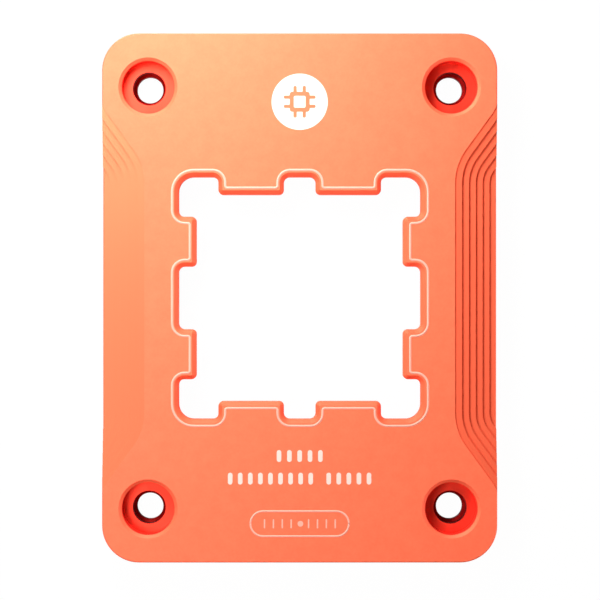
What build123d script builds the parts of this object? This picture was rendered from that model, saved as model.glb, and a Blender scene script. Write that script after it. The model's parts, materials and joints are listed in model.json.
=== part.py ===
from build123d import *
from math import radians, tan
import os

# Retention frame for a square processor package: one milled plate that four screws pull down on to the
# board round the socket. Its finished face looks up, +Y runs along its long side, and the origin is at the
# middle of its underside. All sizes are in millimetres.

# Screw pattern and the plate round it
screw_spacing_x = 41.0
screw_spacing_y = 57.0
side_margin = 6.2
end_margin = 7.25
corner_radius = 5.0
edge_break = 0.15

# Heights, from the board up: socket body, processor package, clamping lip
pocket_depth = 2.4
seat_depth = 1.0
lip_thickness = 2.6

# Screw holes, each a rim, a recess for the head, a bore for the shank and a collar at the foot
rim_chamfer = 0.45
head_diameter = 7.1
head_depth = 2.8
collar_diameter = 3.6
collar_length = 1.2
collar_ledge = 0.425
drill_point_angle = 118.0

# Underside: the pocket that clears the socket and the seat that holds the package
side_wall = 3.2
screw_post_diameter = 8.0
pocket_corner_radius = 3.0
package_size = 40.0
package_clearance = 0.2
seat_corner_radius = 1.0

# Keyed aperture: a square opening with two tabs on each of its four sides
clamp_lip = 3.8
aperture_corner_radius = 2.05
aperture_chamfer = 0.55
corner_notch = 5.4
end_notch = 4.3
side_notch = 8.5
tab_reach = 2.4
tab_root_radius = 0.8
tab_tip_land_radius = 0.1

# Terraces: shallow steps that go down towards both long sides, between parallel curved risers
terrace_count = 6
terrace_pitch = 0.95
first_drop = 0.18
terrace_drop = 0.32
riser_slant = 36.0
outermost_bend_radius = 2.85
run_out_radius = 4.3
run_out_setback = 2.44
run_out_margin = 0.15

# Sizes that follow from the ones above
plate_width = screw_spacing_x + 2 * side_margin
plate_length = screw_spacing_y + 2 * end_margin
plate_thickness = pocket_depth + seat_depth + lip_thickness
shank_diameter = collar_diameter + 2 * collar_ledge
pocket_width = plate_width - 2 * side_wall
pocket_length = screw_spacing_y - screw_post_diameter
seat_size = package_size + 2 * package_clearance
aperture_size = seat_size - 2 * clamp_lip
tab_tip_radius = aperture_chamfer + tab_tip_land_radius
lowest_tread = plate_thickness - first_drop - (terrace_count - 1) * terrace_drop
size_tolerance = 0.01


def screw_hole_profile():
    """Half section of one screw hole, from its axis outwards, in the XZ plane."""
    rim_radius = head_diameter / 2 + rim_chamfer
    seat_height = plate_thickness - head_depth
    drill_point = collar_ledge / tan(radians(drill_point_angle / 2))
    with BuildSketch(Plane.XZ) as profile:
        with BuildLine():
            Polyline(
                (0, 0),
                (collar_diameter / 2, 0),
                (collar_diameter / 2, collar_length),
                (shank_diameter / 2, collar_length + drill_point),
                (shank_diameter / 2, seat_height),
                (head_diameter / 2, seat_height),
                (head_diameter / 2, plate_thickness - rim_chamfer),
                (rim_radius, plate_thickness),
                (0, plate_thickness),
                close=True,
            )
        make_face()
    return profile.sketch


def aperture_outline():
    """Square opening with its tabs: one quarter of its rim, from the +Y side round to +X, mirrored twice."""
    half = aperture_size / 2
    tip = half - tab_reach
    tab_radii = [tab_root_radius, tab_tip_radius, tab_tip_radius, tab_root_radius]
    with BuildSketch() as outline:
        with BuildLine():
            FilletPolyline(
                (0, half),
                (end_notch / 2, half),
                (end_notch / 2, tip),
                (half - corner_notch, tip),
                (half - corner_notch, half),
                (half, half),
                (half, half - corner_notch),
                (tip, half - corner_notch),
                (tip, side_notch / 2),
                (half, side_notch / 2),
                (half, 0),
                radius=[*tab_radii, aperture_corner_radius, *tab_radii],
            )
            mirror(about=Plane.YZ)
            mirror(about=Plane.XZ)
        make_face()
    return outline.sketch


def terrace_outline(step):
    """Areas outside one riser on both long sides. Each riser runs parallel to the one before it."""
    shift = step * terrace_pitch
    inner_x = plate_width / 2 - (terrace_count - step) * terrace_pitch
    outer_x = plate_width / 2 + run_out_margin + shift
    outer_y = screw_spacing_y / 2 - run_out_setback - shift * tan(radians(riser_slant / 2))
    inner_y = outer_y - (outer_x - inner_x) / tan(radians(riser_slant))
    end_y = outer_y + run_out_radius + shift
    outline_points = [(outer_x, end_y), (outer_x, outer_y), (inner_x, inner_y)]
    mirrored_points = [(x, -y) for x, y in reversed(outline_points)]
    run_out = run_out_radius + shift
    inner_bend = outermost_bend_radius + (terrace_count - 1 - step) * terrace_pitch
    with BuildSketch() as outline:
        with BuildLine():
            riser = FilletPolyline(
                *outline_points,
                *mirrored_points,
                radius=[run_out, inner_bend, inner_bend, run_out],
            )
            Polyline(riser @ 1, (plate_width, -end_y), (plate_width, end_y), riser @ 0)
        make_face()
        mirror(about=Plane.YZ)
    return outline.sketch


treads = [terrace_outline(step) for step in range(terrace_count)]
aperture = aperture_outline()
with BuildPart() as screw_hole:
    add(screw_hole_profile())
    revolve(axis=Axis.Z)

with BuildPart() as frame:
    # Blank with its outer edges broken
    with BuildSketch():
        RectangleRounded(plate_width, plate_length, corner_radius)
    extrude(amount=plate_thickness)
    chamfer(frame.faces().filter_by(Axis.Z).edges(), edge_break)

    # Steps of both long sides, and the broken edge of the lowest tread
    for step, tread in enumerate(treads):
        with BuildSketch(Plane.XY.offset(plate_thickness - first_drop - step * terrace_drop)):
            add(tread)
        extrude(amount=plate_thickness, mode=Mode.SUBTRACT)
    tread_edges = frame.edges().filter_by(Axis.Y).filter_by_position(
        Axis.Z, lowest_tread - size_tolerance, lowest_tread + size_tolerance
    )
    chamfer(tread_edges.group_by(lambda edge: abs(edge.center().X))[-1], edge_break)

    # Aperture, with a sloped band round its upper edge
    with BuildSketch():
        add(aperture)
    extrude(amount=plate_thickness, mode=Mode.SUBTRACT)
    finished_face = frame.faces().sort_by(Axis.Z)[-1]
    chamfer(finished_face.inner_wires().edges(), aperture_chamfer)

    # Underside, first for the socket body, then deeper for the package
    with BuildSketch():
        RectangleRounded(pocket_width, pocket_length, pocket_corner_radius)
    extrude(amount=pocket_depth, mode=Mode.SUBTRACT)
    with BuildSketch(Plane.XY.offset(pocket_depth)):
        RectangleRounded(seat_size, seat_size, seat_corner_radius)
    extrude(amount=seat_depth, mode=Mode.SUBTRACT)

    # Four stepped screw holes
    with GridLocations(screw_spacing_x, screw_spacing_y, 2, 2):
        add(screw_hole.part, mode=Mode.SUBTRACT)

frame.part.label = "retention_frame"
os.makedirs("parts", exist_ok=True)
export_step(frame.part, "parts/retention_frame.step")
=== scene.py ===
"""Looks of a processor socket retention frame: bead-blasted, coral anodised aluminium with pale laser marks.

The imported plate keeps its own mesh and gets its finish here. The marks are thin films on its upper face.
Sizes are in millimetres, and meshes are in metres.
"""

import json
import logging
import math
from collections.abc import Iterable, Sequence
from dataclasses import dataclass, field
from enum import Enum

import bmesh
import bpy
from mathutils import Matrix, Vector


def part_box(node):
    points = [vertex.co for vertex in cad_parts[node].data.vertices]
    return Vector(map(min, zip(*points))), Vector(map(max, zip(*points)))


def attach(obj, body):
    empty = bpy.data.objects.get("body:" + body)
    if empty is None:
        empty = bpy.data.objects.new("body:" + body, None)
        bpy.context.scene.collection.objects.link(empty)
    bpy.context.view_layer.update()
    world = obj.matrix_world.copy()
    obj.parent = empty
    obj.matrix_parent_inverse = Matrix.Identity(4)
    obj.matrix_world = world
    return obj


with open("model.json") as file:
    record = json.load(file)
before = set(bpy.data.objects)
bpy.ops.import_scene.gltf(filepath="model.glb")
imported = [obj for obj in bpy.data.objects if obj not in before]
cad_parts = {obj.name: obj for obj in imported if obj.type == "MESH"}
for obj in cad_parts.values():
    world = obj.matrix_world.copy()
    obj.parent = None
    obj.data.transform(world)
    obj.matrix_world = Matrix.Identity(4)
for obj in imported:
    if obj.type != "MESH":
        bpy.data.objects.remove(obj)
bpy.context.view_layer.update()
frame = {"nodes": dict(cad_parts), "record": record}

log = logging.getLogger("retention_frame")

Socket = bpy.types.NodeSocket
Rgba = tuple[float, float, float, float]

MM = 0.001
# Points of an outline that are nearer than this are one point
SAME_POINT = 1e-6
# The foot and the top of a film are joined within this distance
WELD = 1e-4
# Share of a bar's width that rounds its ends, just under half so that no two corners fall on one point
BAR_END_SHARE = 0.499
BAR_END_STEPS = 6
# Middle of the capsule and of what it holds
CAPSULE_Y = -30.5


class Ray(Enum):
    """Kinds of ray that see the paper as a white ground."""

    CAMERA = "Is Camera Ray"
    GLOSSY = "Is Glossy Ray"
    TRANSMISSION = "Is Transmission Ray"


class Tree(Enum):
    """Node trees that grow the marks."""

    LINE = "line_along_path"
    FILM = "film_in_outline"
    BARS = "bars_on_points"


@dataclass(frozen=True)
class Corner:
    """Square corner of an outline, with the radius that rounds it."""

    x: float
    y: float
    radius: float


def linear(colour: str) -> Rgba:
    """Turns an sRGB hex colour to linear light.

    Args:
        colour: hex value such as "#FF8040".

    Returns:
        Red, green, blue and an alpha of one.
    """
    parts = [int(colour[place : place + 2], 16) / 255 for place in (1, 3, 5)]
    red, green, blue = [
        part / 12.92 if part <= 0.04045 else ((part + 0.055) / 1.055) ** 2.4 for part in parts
    ]
    return red, green, blue, 1.0


def add_node(
    tree: bpy.types.NodeTree, kind: str, settings: dict[str, object] | None = None, **sockets: object
) -> bpy.types.Node:
    """Adds a node with its settings and links.

    Args:
        tree: tree that the node goes into.
        kind: Blender's name of the node type.
        settings: attributes of the node.
        sockets: values or output sockets for its inputs, with _ for a space, or in_0 for an input by number.

    Returns:
        The new node.
    """
    node = tree.nodes.new(kind)
    for name, value in (settings or {}).items():
        setattr(node, name, value)
    for name, value in sockets.items():
        key = int(name[3:]) if name.startswith("in_") else name.replace("_", " ")
        if isinstance(value, Socket):
            tree.links.new(value, node.inputs[key])
        else:
            node.inputs[key].default_value = value
    return node


def start_material(name: str) -> tuple[bpy.types.Material, bpy.types.NodeTree]:
    """Makes an empty node material.

    Args:
        name: name of the finish.

    Returns:
        The material and its tree.
    """
    material = bpy.data.materials.new(name)
    material.use_nodes = True
    material.node_tree.nodes.clear()
    return material, material.node_tree


def looks_up(tree: bpy.types.NodeTree) -> Socket:
    """Gives one where the surface is level and looks up, and less where it is tilted."""
    facing = add_node(tree, "ShaderNodeTexCoord").outputs["Normal"]
    return add_node(tree, "ShaderNodeSeparateXYZ", Vector=facing).outputs["Z"]


def off_middle(tree: bpy.types.NodeTree, place: Socket) -> bpy.types.Node:
    """Gives how far a point lies from the origin along each axis, on either side."""
    folded = add_node(tree, "ShaderNodeVectorMath", {"operation": "ABSOLUTE"}, in_0=place)
    return add_node(tree, "ShaderNodeSeparateXYZ", Vector=folded.outputs["Vector"])


@dataclass(frozen=True)
class ScrewPattern:
    """Four screw holes on the corners of a rectangle round the origin."""

    spacing_x: float
    spacing_y: float
    recess_radius: float = 3.56
    bore_radius: float = 2.24
    # The zone fades out over this width
    edge: float = 0.04

    def within(self, tree: bpy.types.NodeTree, place: Socket, radius: float) -> Socket:
        """Adds nodes that tell points near a screw's axis from the rest.

        Args:
            tree: tree that the nodes go into.
            place: socket that gives the point.
            radius: distance from the axis, in millimetres.

        Returns:
            The socket that is one within that distance and zero outside it.
        """
        axis = (self.spacing_x / 2 * MM, self.spacing_y / 2 * MM, 0.0)
        quarter = add_node(tree, "ShaderNodeVectorMath", {"operation": "ABSOLUTE"}, in_0=place)
        flat = add_node(
            tree, "ShaderNodeVectorMath", {"operation": "MULTIPLY"},
            in_0=quarter.outputs["Vector"], in_1=(1.0, 1.0, 0.0),
        ).outputs["Vector"]
        away = add_node(
            tree, "ShaderNodeVectorMath", {"operation": "DISTANCE"}, in_0=flat, in_1=axis
        ).outputs["Value"]
        return add_node(
            tree, "ShaderNodeMapRange", Value=away,
            From_Min=radius * MM, From_Max=(radius + self.edge) * MM, To_Min=1.0, To_Max=0.0,
        ).outputs["Result"]


@dataclass(frozen=True)
class StepZone:
    """Treads of the long sides: what looks up, beyond a line along each side and below the finished face."""

    inner_x: float
    highest: float
    # The zone fades out over this width
    edge: float = 0.04
    # Upward part of the normal at which a face is too tilted for a tread, and at which it is level
    tilted: float = 0.8
    level: float = 0.9

    def within(self, tree: bpy.types.NodeTree, place: Socket) -> Socket:
        """Adds nodes that tell the treads from the rest.

        Args:
            tree: tree that the nodes go into.
            place: socket that gives the point.

        Returns:
            The socket that is one on the treads and zero elsewhere.
        """
        far = off_middle(tree, place)
        share = add_node(
            tree, "ShaderNodeMapRange", Value=far.outputs["X"],
            From_Min=self.inner_x * MM, From_Max=(self.inner_x + self.edge) * MM,
        ).outputs["Result"]
        below = add_node(
            tree, "ShaderNodeMapRange", Value=far.outputs["Z"],
            From_Min=self.highest * MM, From_Max=(self.highest + self.edge) * MM, To_Min=1.0, To_Max=0.0,
        ).outputs["Result"]
        upward = add_node(
            tree, "ShaderNodeMapRange", Value=looks_up(tree), From_Min=self.tilted, From_Max=self.level
        ).outputs["Result"]
        for limit in (below, upward):
            share = add_node(
                tree, "ShaderNodeMath", {"operation": "MULTIPLY"}, in_0=share, in_1=limit
            ).outputs["Value"]
        return share


@dataclass(frozen=True)
class BandZone:
    """Sloped band round the aperture: what is tilted, inside a square round the origin."""

    half: float
    # The zone fades out over this width
    edge: float = 0.04
    # Upward part of the normal at which a face is tilted, and at which it is too level for the band
    tilted: float = 0.9
    level: float = 0.97

    def within(self, tree: bpy.types.NodeTree, place: Socket) -> Socket:
        """Adds nodes that tell the band from the rest.

        Args:
            tree: tree that the nodes go into.
            place: socket that gives the point.

        Returns:
            The socket that is one on the band and zero elsewhere.
        """
        far = off_middle(tree, place)
        reach = add_node(
            tree, "ShaderNodeMath", {"operation": "MAXIMUM"}, in_0=far.outputs["X"], in_1=far.outputs["Y"]
        ).outputs["Value"]
        inside = add_node(
            tree, "ShaderNodeMapRange", Value=reach,
            From_Min=self.half * MM, From_Max=(self.half + self.edge) * MM, To_Min=1.0, To_Max=0.0,
        ).outputs["Result"]
        sloped = add_node(
            tree, "ShaderNodeMapRange", Value=looks_up(tree),
            From_Min=self.tilted, From_Max=self.level, To_Min=1.0, To_Max=0.0,
        ).outputs["Result"]
        both = add_node(tree, "ShaderNodeMath", {"operation": "MULTIPLY"}, in_0=inside, in_1=sloped)
        return both.outputs["Value"]


@dataclass(frozen=True)
class AnodisedAluminium:
    """Aluminium, milled, bead-blasted and then anodised in a coral dye.

    The blast spreads each reflection into a wide, even glow with a fine sparkle, and the dyed oxide scatters
    about half of the light by itself. The treads are cut smoother, so they shine more like bare metal, and
    their slightly deeper colour is painted shade from the risers. The sloped band round the aperture gets a
    deeper colour as painted shade too. The blast hardly reaches into the screw holes, so there the cut metal
    stays smoother still, with no sheen of oxide, and its colour, deepening from coral to dark red, is
    painted shade of the recesses and bores.
    """

    holes: ScrewPattern
    steps: StepZone
    band: BandZone
    light_dye: str = "#FF7651"
    deep_dye: str = "#FF6E4A"
    # Painted shade: a slightly deeper colour on the treads stands in for the shade beside the risers.
    tread_painted_shade: str = "#FF6A45"
    # Painted shade: a deeper colour on the sloped band round the aperture.
    band_painted_shade: str = "#FF6542"
    # Painted shade: deep red in the screw recesses, darker still in the bores.
    recess_painted_shade: str = "#FF4633"
    bore_painted_shade: str = "#780608"
    edge_dye: str = "#FF6A50"
    metal_share: float = 0.45
    tread_metal_share: float = 0.75
    roughness: float = 0.72
    roughness_spread: float = 0.05
    tread_roughness: float = 0.57
    recess_roughness: float = 0.45
    oxide_weight: float = 0.3
    oxide_ior: float = 1.6
    oxide_roughness: float = 0.6
    # Blast pits are 0.05 to 0.1 mm wide, too fine for the render, so the grain is drawn this wide
    grain: float = 0.34
    grain_height: float = 0.009
    grain_contrast: float = 0.6
    # Most of the noise lies between these, so they get the lowest and the highest roughness
    grain_low: float = 0.3
    grain_high: float = 0.7
    mottle: float = 1.6
    mottle_detail: float = 1.0
    mottle_share: float = 0.4
    tone_spread: float = 0.2

    def blasted_dye(self, tree: bpy.types.NodeTree, place: Socket, grain: Socket) -> Socket:
        """Adds the dye of the blasted face, which varies a little from grain to grain.

        Args:
            tree: tree that the nodes go into.
            place: socket that gives the point.
            grain: socket that gives the grain of the blast.

        Returns:
            The socket that gives the colour.
        """
        mottle = add_node(
            tree, "ShaderNodeTexNoise", Vector=place, Scale=1 / (self.mottle * MM), Detail=self.mottle_detail
        ).outputs["Fac"]
        tone = add_node(
            tree, "ShaderNodeMath", {"operation": "MULTIPLY_ADD"},
            in_0=mottle, in_1=self.mottle_share, in_2=grain,
        ).outputs["Value"]
        middle = (1 + self.mottle_share) / 2
        shade = add_node(
            tree, "ShaderNodeMapRange", Value=tone,
            From_Min=middle - self.tone_spread, From_Max=middle + self.tone_spread,
        ).outputs["Result"]
        return add_node(
            tree, "ShaderNodeMix", {"data_type": "RGBA"},
            in_0=shade, in_6=linear(self.deep_dye), in_7=linear(self.light_dye),
        ).outputs[2]

    def dye(
        self, tree: bpy.types.NodeTree, place: Socket, grain: Socket, on_tread: Socket, in_recess: Socket
    ) -> Socket:
        """Adds the colour of the whole plate: its dye, with painted shade on the treads,
        on the sloped band and in the screw holes.

        Args:
            tree: tree that the nodes go into.
            place: socket that gives the point.
            grain: socket that gives the grain of the blast.
            on_tread: socket that is one on the treads.
            in_recess: socket that is one in the screw holes.

        Returns:
            The socket that gives the colour.
        """
        # Painted shade: the screw holes, the treads and the sloped band get deeper colours than the face.
        hole_painted_shade = add_node(
            tree, "ShaderNodeMix", {"data_type": "RGBA"},
            in_0=self.holes.within(tree, place, self.holes.bore_radius),
            in_6=linear(self.recess_painted_shade), in_7=linear(self.bore_painted_shade),
        ).outputs[2]
        colour = self.blasted_dye(tree, place, grain)
        zones = (
            (on_tread, linear(self.tread_painted_shade)),
            (self.band.within(tree, place), linear(self.band_painted_shade)),
            (in_recess, hole_painted_shade),
        )
        for share, zone in zones:
            colour = add_node(
                tree, "ShaderNodeMix", {"data_type": "RGBA"}, in_0=share, in_6=colour, in_7=zone
            ).outputs[2]
        return colour

    def rough(self, tree: bpy.types.NodeTree, grain: Socket, on_tread: Socket, in_recess: Socket) -> Socket:
        """Adds the roughness of the face, the treads and the screw holes.

        Args:
            tree: tree that the nodes go into.
            grain: socket that gives the grain of the blast.
            on_tread: socket that is one on the treads.
            in_recess: socket that is one in the screw holes.

        Returns:
            The socket that gives the roughness.
        """
        rough = add_node(
            tree, "ShaderNodeMapRange", Value=grain, From_Min=self.grain_low, From_Max=self.grain_high,
            To_Min=self.roughness - self.roughness_spread, To_Max=self.roughness + self.roughness_spread,
        ).outputs["Result"]
        for share, smoother in ((on_tread, self.tread_roughness), (in_recess, self.recess_roughness)):
            rough = add_node(
                tree, "ShaderNodeMix", {"data_type": "FLOAT"}, in_0=share, in_2=rough, in_3=smoother
            ).outputs[0]
        return rough

    def material(self) -> bpy.types.Material:
        """Builds the node material.

        Returns:
            The finished material.
        """
        material, tree = start_material("anodised_aluminium_bead_blasted")
        place = add_node(tree, "ShaderNodeTexCoord").outputs["Object"]
        grain = add_node(
            tree, "ShaderNodeTexNoise", Vector=place,
            Scale=1 / (self.grain * MM), Roughness=self.grain_contrast,
        ).outputs["Fac"]
        in_recess = self.holes.within(tree, place, self.holes.recess_radius)
        on_tread = self.steps.within(tree, place)
        metal = add_node(
            tree, "ShaderNodeMapRange", Value=on_tread,
            To_Min=self.metal_share, To_Max=self.tread_metal_share,
        ).outputs["Result"]
        oxide = add_node(
            tree, "ShaderNodeMapRange", Value=in_recess, To_Min=self.oxide_weight, To_Max=0.0
        ).outputs["Result"]
        pits = add_node(
            tree, "ShaderNodeBump", Height=grain, Strength=1.0, Distance=self.grain_height * MM
        ).outputs["Normal"]
        surface = add_node(
            tree, "ShaderNodeBsdfPrincipled",
            Base_Color=self.dye(tree, place, grain, on_tread, in_recess), Metallic=metal,
            Roughness=self.rough(tree, grain, on_tread, in_recess), Normal=pits,
            Specular_Tint=linear(self.edge_dye), Coat_Weight=oxide, Coat_IOR=self.oxide_ior,
            Coat_Roughness=self.oxide_roughness,
        )
        add_node(tree, "ShaderNodeOutputMaterial", Surface=surface.outputs["BSDF"])
        return material


@dataclass(frozen=True)
class BleachedOxide:
    """Anodised face, bleached by a laser.

    The beam burns out the dye and leaves the oxide flat and chalky, with a trace of the dye in its grain.
    Filled marks take many passes and come out nearly white, and fine lines take one and stay a pale coral.
    """

    name: str = "anodised_aluminium_laser_bleached"
    chalk: str = "#EAC6BB"
    trace: str = "#E4BCAF"
    roughness: float = 0.7
    # Laser lines lie 0.03 to 0.05 mm apart, too fine for the render, so the grain is drawn this wide
    grain: float = 0.2
    grain_height: float = 0.003

    def material(self) -> bpy.types.Material:
        """Builds the node material.

        Returns:
            The finished material.
        """
        material, tree = start_material(self.name)
        place = add_node(tree, "ShaderNodeTexCoord").outputs["Object"]
        grain = add_node(
            tree, "ShaderNodeTexNoise", Vector=place, Scale=1 / (self.grain * MM)
        ).outputs["Fac"]
        chalk = add_node(
            tree, "ShaderNodeMix", {"data_type": "RGBA"},
            in_0=grain, in_6=linear(self.trace), in_7=linear(self.chalk),
        ).outputs[2]
        bump = add_node(
            tree, "ShaderNodeBump", Height=grain, Strength=1.0, Distance=self.grain_height * MM
        ).outputs["Normal"]
        surface = add_node(
            tree, "ShaderNodeBsdfPrincipled", Base_Color=chalk, Roughness=self.roughness, Normal=bump
        )
        add_node(tree, "ShaderNodeOutputMaterial", Surface=surface.outputs["BSDF"])
        return material


@dataclass(frozen=True)
class StudioPaper:
    """Matt white studio paper, seen as a plain white ground that still takes a faint shadow."""

    white: str = "#FFFFFF"
    fibre: str = "#F4F4F4"
    glow: float = 0.985
    mirrored_glow: float = 0.1
    fibre_width: float = 4.0

    def seen_white(self, tree: bpy.types.NodeTree) -> Socket:
        """Adds nodes that tell how white a ray sees the paper, whatever light falls on it.

        Args:
            tree: tree that the nodes go into.

        Returns:
            The socket that is near one for the camera, low for a mirrored view and zero for light.
        """
        path = add_node(tree, "ShaderNodeLightPath")
        parts = {Ray.CAMERA: self.glow, Ray.GLOSSY: self.mirrored_glow, Ray.TRANSMISSION: self.glow}
        shares = [
            add_node(
                tree, "ShaderNodeMath", {"operation": "MULTIPLY"}, in_0=path.outputs[ray.value], in_1=part
            ).outputs["Value"]
            for ray, part in parts.items()
        ]
        most = shares[0]
        for share in shares[1:]:
            most = add_node(
                tree, "ShaderNodeMath", {"operation": "MAXIMUM"}, in_0=most, in_1=share
            ).outputs["Value"]
        return most

    def material(self) -> bpy.types.Material:
        """Builds the node material.

        Returns:
            The finished material.
        """
        material, tree = start_material("studio_paper_matt")
        place = add_node(tree, "ShaderNodeTexCoord").outputs["Object"]
        fibre = add_node(
            tree, "ShaderNodeTexNoise", Vector=place, Scale=1 / (self.fibre_width * MM)
        ).outputs["Fac"]
        tone = add_node(
            tree, "ShaderNodeMix", {"data_type": "RGBA"},
            in_0=fibre, in_6=linear(self.fibre), in_7=linear(self.white),
        ).outputs[2]
        paper = add_node(tree, "ShaderNodeBsdfDiffuse", Color=tone).outputs["BSDF"]
        glow = add_node(tree, "ShaderNodeEmission", Color=linear(self.white), Strength=1.0)
        mixed = add_node(
            tree, "ShaderNodeMixShader",
            in_0=self.seen_white(tree), in_1=paper, in_2=glow.outputs["Emission"],
        )
        add_node(tree, "ShaderNodeOutputMaterial", Surface=mixed.outputs["Shader"])
        return material


def rounded_outline(corners: Sequence[Corner], steps: int = 10) -> list[Vector]:
    """Rounds the square corners of a closed outline.

    Args:
        corners: corners in order, in millimetres.
        steps: parts of each quarter circle.

    Returns:
        Points of the outline, without doubles.
    """
    points: list[Vector] = []
    count = len(corners)
    for place, corner in enumerate(corners):
        here = Vector((corner.x, corner.y))
        before, after = corners[place - 1], corners[(place + 1) % count]
        back = (Vector((before.x, before.y)) - here).normalized()
        ahead = (Vector((after.x, after.y)) - here).normalized()
        centre = here + (back + ahead) * corner.radius
        for step in range(steps + 1):
            turn = math.pi / 2 * step / steps
            points.append(centre - (ahead * math.cos(turn) + back * math.sin(turn)) * corner.radius)
    return [point for place, point in enumerate(points) if (point - points[place - 1]).length > SAME_POINT]


def rectangle(width: float, height: float, radius: float, x: float = 0.0, y: float = 0.0) -> list[Corner]:
    """Corners of an upright rectangle.

    Args:
        width: size along X, in millimetres.
        height: size along Y.
        radius: radius of its corners.
        x: middle of the rectangle along X.
        y: middle of the rectangle along Y.

    Returns:
        Its four corners, clockwise.
    """
    signs = ((-1, 1), (1, 1), (1, -1), (-1, -1))
    return [Corner(x + sx * width / 2, y + sy * height / 2, radius) for sx, sy in signs]


def outline_mesh(name: str, outlines: Iterable[Sequence[Vector]]) -> bpy.types.Mesh:
    """Draws closed outlines at height zero as loops of edges.

    Args:
        name: name of the mesh.
        outlines: points of each outline, in millimetres.

    Returns:
        A mesh in metres that has no faces.
    """
    points: list[Vector] = []
    edges: list[tuple[int, int]] = []
    for outline in outlines:
        first, count = len(points), len(outline)
        points += [point.to_3d() * MM for point in outline]
        edges += [(first + place, first + (place + 1) % count) for place in range(count)]
    mesh = bpy.data.meshes.new(name)
    mesh.from_pydata(points, edges, [])
    return mesh


def start_tree(name: str, sizes: Sequence[str]) -> tuple[bpy.types.NodeTree, bpy.types.Node]:
    """Starts a geometry tree with named inputs for its sizes and its finish.

    Args:
        name: name of the tree.
        sizes: names of its length inputs.

    Returns:
        The tree and its input node.
    """
    tree = bpy.data.node_groups.new(name, "GeometryNodeTree")
    tree.interface.new_socket("Geometry", in_out="INPUT", socket_type="NodeSocketGeometry")
    for size in sizes:
        tree.interface.new_socket(size, in_out="INPUT", socket_type="NodeSocketFloat")
    tree.interface.new_socket("Finish", in_out="INPUT", socket_type="NodeSocketMaterial")
    tree.interface.new_socket("Geometry", in_out="OUTPUT", socket_type="NodeSocketGeometry")
    return tree, add_node(tree, "NodeGroupInput")


def end_tree(tree: bpy.types.NodeTree, shape: Socket, finish: Socket) -> None:
    """Ends a geometry tree: instances are made real and get their finish.

    Args:
        tree: tree to end.
        shape: socket that gives the shape.
        finish: socket that gives the material.
    """
    real = add_node(tree, "GeometryNodeRealizeInstances", Geometry=shape).outputs["Geometry"]
    dressed = add_node(tree, "GeometryNodeSetMaterial", Geometry=real, Material=finish).outputs["Geometry"]
    add_node(tree, "NodeGroupOutput", Geometry=dressed)


def raise_film(tree: bpy.types.NodeTree, curve: Socket, thickness: Socket) -> Socket:
    """Fills flat closed curves at height zero and gives the fill a thickness, as a closed shell.

    Args:
        tree: tree that the nodes go into.
        curve: socket that gives the curves. A curve within another is a hole.
        thickness: socket that gives the height of the shell.

    Returns:
        The socket that gives the shell.
    """
    flat = add_node(tree, "GeometryNodeFillCurve", {"mode": "NGONS"}, Curve=curve).outputs["Mesh"]
    top = add_node(
        tree, "GeometryNodeExtrudeMesh", {"mode": "FACES"},
        Mesh=flat, Offset_Scale=thickness, Individual=False,
    ).outputs["Mesh"]
    foot = add_node(tree, "GeometryNodeFlipFaces", Mesh=flat).outputs["Mesh"]
    joined = add_node(tree, "GeometryNodeJoinGeometry")
    for part in (foot, top):
        tree.links.new(part, joined.inputs["Geometry"])
    return add_node(
        tree, "GeometryNodeMergeByDistance", Geometry=joined.outputs["Geometry"], Distance=WELD * MM
    ).outputs["Geometry"]


def lifted(tree: bpy.types.NodeTree, shape: Socket, level: Socket) -> Socket:
    """Adds nodes that lift a shape from height zero.

    Args:
        tree: tree that the nodes go into.
        shape: socket that gives the shape.
        level: socket that gives the height.

    Returns:
        The socket that gives the lifted shape.
    """
    way = add_node(tree, "ShaderNodeCombineXYZ", Z=level).outputs["Vector"]
    return add_node(tree, "GeometryNodeTransform", Geometry=shape, Translation=way).outputs["Geometry"]


def line_tree() -> bpy.types.NodeTree:
    """Builds the tree that grows a flat line along a closed path.

    Returns:
        The finished tree.
    """
    tree, given = start_tree(Tree.LINE.value, ("Width", "Thickness", "Level"))
    path = add_node(tree, "GeometryNodeMeshToCurve", Mesh=given.outputs["Geometry"]).outputs["Curve"]
    level = add_node(tree, "GeometryNodeSetCurveNormal", {"mode": "Z_UP"}, Curve=path).outputs["Curve"]
    section = add_node(
        tree, "GeometryNodeCurvePrimitiveQuadrilateral",
        Width=given.outputs["Width"], Height=given.outputs["Thickness"],
    ).outputs["Curve"]
    line = add_node(tree, "GeometryNodeCurveToMesh", Curve=level, Profile_Curve=section).outputs["Mesh"]
    end_tree(tree, lifted(tree, line, given.outputs["Level"]), given.outputs["Finish"])
    return tree


def film_tree() -> bpy.types.NodeTree:
    """Builds the tree that fills closed outlines with a thin film.

    Returns:
        The finished tree.
    """
    tree, given = start_tree(Tree.FILM.value, ("Thickness", "Level"))
    outlines = add_node(tree, "GeometryNodeMeshToCurve", Mesh=given.outputs["Geometry"]).outputs["Curve"]
    film = raise_film(tree, outlines, given.outputs["Thickness"])
    end_tree(tree, lifted(tree, film, given.outputs["Level"]), given.outputs["Finish"])
    return tree


def bars_tree() -> bpy.types.NodeTree:
    """Builds the tree that sets a bar with round ends on each point.

    Returns:
        The finished tree.
    """
    tree, given = start_tree(Tree.BARS.value, ("Width", "Height", "Thickness"))
    square = add_node(
        tree, "GeometryNodeCurvePrimitiveQuadrilateral",
        Width=given.outputs["Width"], Height=given.outputs["Height"],
    ).outputs["Curve"]
    end_radius = add_node(
        tree, "ShaderNodeMath", {"operation": "MULTIPLY"}, in_0=given.outputs["Width"], in_1=BAR_END_SHARE
    ).outputs["Value"]
    outline = add_node(
        tree, "GeometryNodeFilletCurve", {"mode": "POLY"},
        Curve=square, Count=BAR_END_STEPS, Radius=end_radius,
    ).outputs["Curve"]
    bar = raise_film(tree, outline, given.outputs["Thickness"])
    bars = add_node(
        tree, "GeometryNodeInstanceOnPoints", Points=given.outputs["Geometry"], Instance=bar
    ).outputs["Instances"]
    end_tree(tree, bars, given.outputs["Finish"])
    return tree


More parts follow.
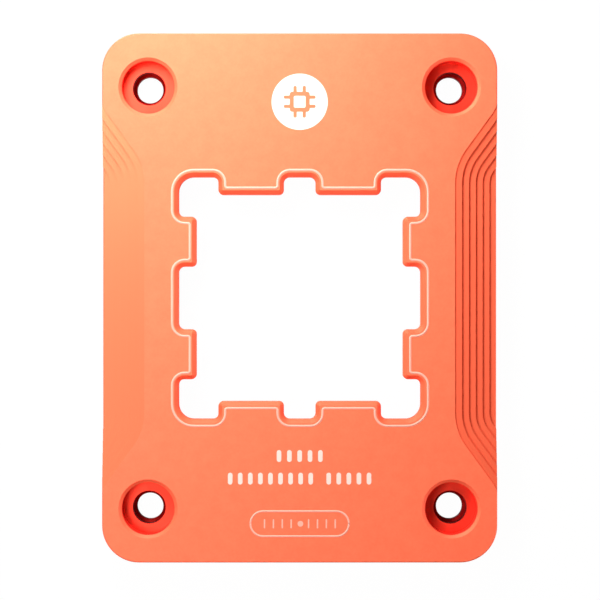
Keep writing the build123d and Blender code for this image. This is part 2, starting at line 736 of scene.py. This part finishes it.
def grow(
    name: str, source: bpy.types.Mesh, tree: bpy.types.NodeTree, finish: bpy.types.Material, **sizes: float
) -> bpy.types.Object:
    """Runs a geometry tree on a mesh and keeps the result as a piece with a plain mesh.

    Args:
        name: name of the piece.
        source: path, outline or points for the tree.
        tree: tree that grows the piece.
        finish: material of the piece.
        sizes: the tree's sizes by name, in millimetres.

    Returns:
        The piece, riding on the plate.
    """
    carrier = bpy.data.objects.new(name + "_source", source)
    bpy.context.scene.collection.objects.link(carrier)
    modifier = carrier.modifiers.new("grow", "NODES")
    modifier.node_group = tree
    inputs = {item.name: item.identifier for item in tree.interface.items_tree if item.in_out == "INPUT"}
    modifier[inputs["Finish"]] = finish
    for size, value in sizes.items():
        modifier[inputs[size]] = value * MM
    evaluated = carrier.evaluated_get(bpy.context.evaluated_depsgraph_get())
    mesh = bpy.data.meshes.new_from_object(evaluated)
    mesh.name = name
    bpy.data.objects.remove(carrier)
    # The result starts with the source's empty slot, so its faces move to a single slot with the finish
    mesh.polygons.foreach_set("material_index", [0] * len(mesh.polygons))
    mesh.materials.clear()
    mesh.materials.append(finish)
    shell = bmesh.new()
    shell.from_mesh(mesh)
    bmesh.ops.recalc_face_normals(shell, faces=shell.faces)
    shell.to_mesh(mesh)
    shell.free()
    piece = bpy.data.objects.new(name, mesh)
    bpy.context.scene.collection.objects.link(piece)
    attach(piece, "root")
    return piece


@dataclass
class MilledPlate:
    """The plate itself, as milled, blasted and dyed."""

    node: str = "retention_frame"
    screw_mount: str = "screw_holes"
    # The treads lie within this width of each long edge, and at least this far below the face
    step_width: float = 5.9
    step_drop: float = 0.16
    # The sloped band lies within this distance of the middle
    band_half: float = 18.5

    def holes(self) -> ScrewPattern:
        """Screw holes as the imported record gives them."""
        dims = {mount["name"]: mount["dims"] for mount in frame["record"]["mounts"]}[self.screw_mount]
        return ScrewPattern(dims["spacing_x_mm"], dims["spacing_y_mm"])

    def steps(self) -> StepZone:
        """Stepped long sides, inwards from the edges of the plate."""
        return StepZone(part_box(self.node)[1].x / MM - self.step_width, self.top() - self.step_drop)

    def top(self) -> float:
        """Height of the finished face in millimetres."""
        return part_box(self.node)[1].z / MM

    def dress(self) -> bpy.types.Object:
        """Gives the plate its finish.

        Returns:
            The plate's own object.
        """
        plate = frame["nodes"][self.node]
        material = AnodisedAluminium(self.holes(), self.steps(), BandZone(self.band_half)).material()
        for slot in plate.material_slots:
            slot.material = material
        return plate


@dataclass
class Film:
    """How thick the marks are: their foot lies in the face and their top a little above it."""

    sink: float = 0.010
    proud: float = 0.010

    def thickness(self) -> float:
        """Height of a mark from its foot to its top."""
        return self.sink + self.proud

    def foot(self, face: float) -> float:
        """Height of the foot of a mark on a face."""
        return face - self.sink

    def middle(self, face: float) -> float:
        """Height of the middle of a mark on a face."""
        return face + (self.proud - self.sink) / 2


@dataclass
class ApertureLine:
    """Thin line that follows the rim of the keyed aperture at a constant distance."""

    face: float
    film: Film
    half_opening: float = 16.4
    tab_reach: float = 2.4
    corner_notch: float = 5.4
    end_notch: float = 4.3
    side_notch: float = 8.5
    corner_radius: float = 2.05
    root_radius: float = 0.8
    distance: float = 0.89
    tip_radius: float = 0.3
    width: float = 0.31
    # The line lies slightly off the middle of the opening
    shift_x: float = 0.05

    def quarter(self) -> list[Corner]:
        """Corners of the line from the +Y side round to +X.

        Returns:
            Nine corners: two tabs and the corner of the opening between them.
        """
        half = self.half_opening + self.distance
        tip = half - self.tab_reach
        near_corner = self.half_opening - self.corner_notch - self.distance
        near_end = self.end_notch / 2 + self.distance
        near_side = self.side_notch / 2 + self.distance
        root = self.root_radius + self.distance
        return [
            Corner(near_end, half, root),
            Corner(near_end, tip, self.tip_radius),
            Corner(near_corner, tip, self.tip_radius),
            Corner(near_corner, half, root),
            Corner(half, half, self.corner_radius + self.distance),
            Corner(half, near_corner, root),
            Corner(tip, near_corner, self.tip_radius),
            Corner(tip, near_side, self.tip_radius),
            Corner(half, near_side, root),
        ]

    def corners(self) -> list[Corner]:
        """Corners of the whole line.

        Returns:
            Four quarters, clockwise from the middle of the +Y side.
        """
        quarter = self.quarter()
        ring: list[Corner] = []
        for sx, sy, turn in ((1, 1, 1), (1, -1, -1), (-1, -1, 1), (-1, 1, -1)):
            ring += [Corner(sx * corner.x, sy * corner.y, corner.radius) for corner in quarter[::turn]]
        return ring

    def build(self, tree: bpy.types.NodeTree, finish: bpy.types.Material) -> bpy.types.Object:
        """Grows the line along its path.

        Args:
            tree: tree for lines.
            finish: material of the marks.

        Returns:
            The finished piece.
        """
        shape = [point + Vector((self.shift_x, 0)) for point in rounded_outline(self.corners())]
        path = outline_mesh("aperture_line_path", [shape])
        return grow(
            "aperture_line", path, tree, finish,
            Width=self.width, Thickness=self.film.thickness(), Level=self.film.middle(self.face),
        )


@dataclass
class ChipBadge:
    """Round white badge with a plain chip sign left open in it, so that the metal shows through."""

    face: float
    film: Film
    centre_y: float = 26.5
    radius: float = 3.8
    chip_half: float = 1.35
    chip_radius: float = 0.35
    window_half: float = 0.8
    window_radius: float = 0.2
    pin_half: float = 0.22
    pin_place: float = 0.62
    pin_end: float = 2.15
    pin_tip_radius: float = 0.198
    pin_root_radius: float = 0.08
    rim_steps: int = 24
    sign_steps: int = 6

    def chip_corners(self) -> list[Corner]:
        """Outline of the chip with two pins on each side.

        Returns:
            Its corners, clockwise from the upper left.
        """
        side = [Corner(-self.chip_half, self.chip_half, self.chip_radius)]
        for place in (-self.pin_place, self.pin_place):
            left, right = place - self.pin_half, place + self.pin_half
            side += [
                Corner(left, self.chip_half, self.pin_root_radius),
                Corner(left, self.pin_end, self.pin_tip_radius),
                Corner(right, self.pin_end, self.pin_tip_radius),
                Corner(right, self.chip_half, self.pin_root_radius),
            ]
        ring: list[Corner] = []
        for _ in range(4):
            ring += side
            side = [Corner(corner.y, -corner.x, corner.radius) for corner in side]
        return ring

    def build(self, tree: bpy.types.NodeTree, finish: bpy.types.Material) -> bpy.types.Object:
        """Fills the badge between its outlines.

        Args:
            tree: tree for films.
            finish: material of the marks.

        Returns:
            The finished piece.
        """
        rim, window = 2 * self.radius, 2 * self.window_half
        shapes = [
            rounded_outline(rectangle(rim, rim, self.radius), self.rim_steps),
            rounded_outline(self.chip_corners(), self.sign_steps),
            rounded_outline(rectangle(window, window, self.window_radius), self.sign_steps),
        ]
        placed = [[point + Vector((0, self.centre_y)) for point in shape] for shape in shapes]
        outlines = outline_mesh("chip_badge_outlines", placed)
        return grow(
            "chip_badge", outlines, tree, finish,
            Thickness=self.film.thickness(), Level=self.film.foot(self.face),
        )


@dataclass(frozen=True)
class BarGroup:
    """Group of upright bars in one row."""

    count: int
    centre_x: float
    centre_y: float
    pitch: float

    def place_x(self, number: int) -> float:
        """Place of one bar along X."""
        return self.centre_x + (number - (self.count - 1) / 2) * self.pitch


@dataclass
class BarRows:
    """Rows of plain upright bars with round ends."""

    face: float
    film: Film
    name: str
    groups: tuple[BarGroup, ...]
    bar_width: float
    bar_height: float

    def points(self) -> list[Vector]:
        """Places of the bars.

        Returns:
            The middle of each bar's foot, in metres.
        """
        level = self.film.foot(self.face)
        return [
            Vector((group.place_x(number), group.centre_y, level)) * MM
            for group in self.groups
            for number in range(group.count)
        ]

    def build(self, tree: bpy.types.NodeTree, finish: bpy.types.Material) -> bpy.types.Object:
        """Sets a bar on each place.

        Args:
            tree: tree for bars.
            finish: material of the marks.

        Returns:
            The finished piece.
        """
        source = bpy.data.meshes.new(self.name + "_places")
        source.from_pydata(self.points(), [], [])
        return grow(
            self.name, source, tree, finish,
            Width=self.bar_width, Height=self.bar_height, Thickness=self.film.thickness(),
        )


@dataclass
class CaptionBars(BarRows):
    """Bold bars in two rows below the aperture."""

    name: str = "caption_bars"
    groups: tuple[BarGroup, ...] = (
        BarGroup(count=5, centre_x=0.0, centre_y=-21.35, pitch=1.395),
        BarGroup(count=9, centre_x=-3.95, centre_y=-24.4, pitch=1.36),
        BarGroup(count=5, centre_x=6.64, centre_y=-24.4, pitch=1.36),
    )
    bar_width: float = 0.62
    bar_height: float = 1.6


@dataclass
class CapsuleMark:
    """Line in the form of a capsule below the rows of bars."""

    face: float
    film: Film
    centre_y: float = CAPSULE_Y
    length: float = 13.3
    height: float = 3.38
    width: float = 0.27
    end_steps: int = 16

    def build(self, tree: bpy.types.NodeTree, finish: bpy.types.Material) -> bpy.types.Object:
        """Grows the line along the capsule.

        Args:
            tree: tree for lines.
            finish: material of the marks.

        Returns:
            The finished piece.
        """
        corners = rectangle(self.length, self.height, self.height / 2, y=self.centre_y)
        path = outline_mesh("capsule_line_path", [rounded_outline(corners, self.end_steps)])
        return grow(
            "capsule_line", path, tree, finish,
            Width=self.width, Thickness=self.film.thickness(), Level=self.film.middle(self.face),
        )


@dataclass
class CapsuleBars(BarRows):
    """Fine bars in the capsule, on both sides of its dot."""

    name: str = "capsule_bars"
    groups: tuple[BarGroup, ...] = (
        BarGroup(count=4, centre_x=-2.95, centre_y=CAPSULE_Y, pitch=1.2),
        BarGroup(count=4, centre_x=3.0, centre_y=CAPSULE_Y, pitch=1.2),
    )
    bar_width: float = 0.2
    bar_height: float = 1.24


@dataclass
class CapsuleDot(BarRows):
    """Dot in the capsule: one bar that is as wide as it is high."""

    name: str = "capsule_dot"
    groups: tuple[BarGroup, ...] = (BarGroup(count=1, centre_x=0.1, centre_y=CAPSULE_Y, pitch=0.0),)
    bar_width: float = 0.78
    bar_height: float = 0.78


@dataclass(frozen=True)
class SoftBox:
    """Rectangular studio lamp that faces a point near the plate."""

    name: str
    place: tuple[float, float, float]
    aim: tuple[float, float, float]
    width: float
    height: float
    power: float
    colour: str = "#FFFFFF"

    def build(self) -> bpy.types.Object:
        """Makes the lamp.

        Returns:
            The lamp's object.
        """
        lamp = bpy.data.lights.new(self.name, "AREA")
        lamp.shape = "RECTANGLE"
        lamp.size, lamp.size_y = self.width * MM, self.height * MM
        lamp.energy = self.power
        lamp.color = linear(self.colour)[:3]
        holder = bpy.data.objects.new(self.name, lamp)
        holder.location = Vector(self.place) * MM
        holder.rotation_euler = (Vector(self.aim) - Vector(self.place)).to_track_quat("-Z", "Y").to_euler()
        bpy.context.scene.collection.objects.link(holder)
        return holder


@dataclass
class Studio:
    """Pale floor, soft light from the upper left, a low fill from the right and a camera straight above."""

    face: float
    floor_size: float = 2400.0
    # Keeps the paper and the underside of the plate from sharing one plane
    floor_drop: float = 0.02
    paper: StudioPaper = field(default_factory=StudioPaper)
    ambient: str = "#FFFFFF"
    ambient_strength: float = 0.14
    lamps: tuple[SoftBox, ...] = (
        SoftBox(
            name="corner_panel", place=(-18.9, 75.7, 40.0), aim=(0.0, 0.0, 40.0),
            width=60.0, height=60.0, power=0.092,
        ),
        SoftBox(
            name="upper_box", place=(-35.0, 56.0, 76.0), aim=(0.0, 0.0, 6.0),
            width=48.0, height=48.0, power=0.119,
        ),
        SoftBox(
            name="side_box", place=(-85.5, -43.6, 141.0), aim=(0.0, 0.0, 6.0),
            width=80.0, height=80.0, power=0.183,
        ),
        SoftBox(
            name="low_fill", place=(125.6, -33.6, 15.0), aim=(0.0, 0.0, 6.0),
            width=100.0, height=16.0, power=0.072,
        ),
    )
    camera_rise: float = 302.0
    camera_x: float = 0.043
    camera_y: float = -0.275
    view_width: float = 81.04
    sensor: float = 36.0
    nearest: float = 10.0
    farthest: float = 10000.0

    def build_floor(self) -> bpy.types.Object:
        """Lays the paper under the plate.

        Returns:
            The floor, marked as stage.
        """
        half, low = self.floor_size / 2 * MM, -self.floor_drop * MM
        mesh = bpy.data.meshes.new("floor")
        corners = [(-half, -half, low), (half, -half, low), (half, half, low), (-half, half, low)]
        mesh.from_pydata(corners, [], [(0, 1, 2, 3)])
        mesh.materials.append(self.paper.material())
        floor = bpy.data.objects.new("floor", mesh)
        bpy.context.scene.collection.objects.link(floor)
        return floor

    def build_lights(self) -> None:
        """Makes the lamps and the even light of the room."""
        for lamp in self.lamps:
            lamp.build()
        world = bpy.data.worlds.new("studio")
        bpy.context.scene.world = world
        world.use_nodes = True
        tree = world.node_tree
        tree.nodes.clear()
        # Behind the paper the room is seen just as white, so the ground has no visible end
        level = add_node(
            tree, "ShaderNodeMath", {"operation": "MAXIMUM"},
            in_0=self.paper.seen_white(tree), in_1=self.ambient_strength,
        ).outputs["Value"]
        room = add_node(tree, "ShaderNodeBackground", Color=linear(self.ambient), Strength=level)
        add_node(tree, "ShaderNodeOutputWorld", Surface=room.outputs["Background"])

    def build_camera(self) -> bpy.types.Object:
        """Hangs the camera over the plate.

        Returns:
            The scene's camera.
        """
        lens = bpy.data.cameras.new("camera")
        lens.sensor_width = self.sensor
        lens.lens = self.sensor * self.camera_rise / self.view_width
        lens.clip_start, lens.clip_end = self.nearest * MM, self.farthest * MM
        camera = bpy.data.objects.new("camera", lens)
        camera.location = Vector((self.camera_x, self.camera_y, self.face + self.camera_rise)) * MM
        bpy.context.scene.collection.objects.link(camera)
        bpy.context.scene.camera = camera
        return camera


def main() -> None:
    """Dresses the plate, grows its marks and sets up the studio."""
    logging.basicConfig(level=logging.INFO, format="%(name)s: %(message)s")
    bpy.context.scene.view_settings.view_transform = "Standard"
    plate = MilledPlate()
    log.info("%s dressed", plate.dress().name)
    face, film = plate.top(), Film()
    trees = {Tree.LINE: line_tree(), Tree.FILM: film_tree(), Tree.BARS: bars_tree()}
    bleached = BleachedOxide().material()
    lined = BleachedOxide(name="anodised_aluminium_laser_lined", chalk="#ECA28E", trace="#E39783").material()
    marks = (
        ApertureLine(face, film).build(trees[Tree.LINE], lined),
        ChipBadge(face, film).build(trees[Tree.FILM], bleached),
        CaptionBars(face, film).build(trees[Tree.BARS], bleached),
        CapsuleMark(face, film).build(trees[Tree.LINE], lined),
        CapsuleBars(face, film).build(trees[Tree.BARS], lined),
        CapsuleDot(face, film).build(trees[Tree.BARS], lined),
    )
    for mark in marks:
        log.info("%s: %d faces", mark.name, len(mark.data.polygons))
    studio = Studio(face)
    log.info("%s laid", studio.build_floor().name)
    studio.build_lights()
    log.info("%s hung", studio.build_camera().name)


if __name__ == "__main__":
    main()
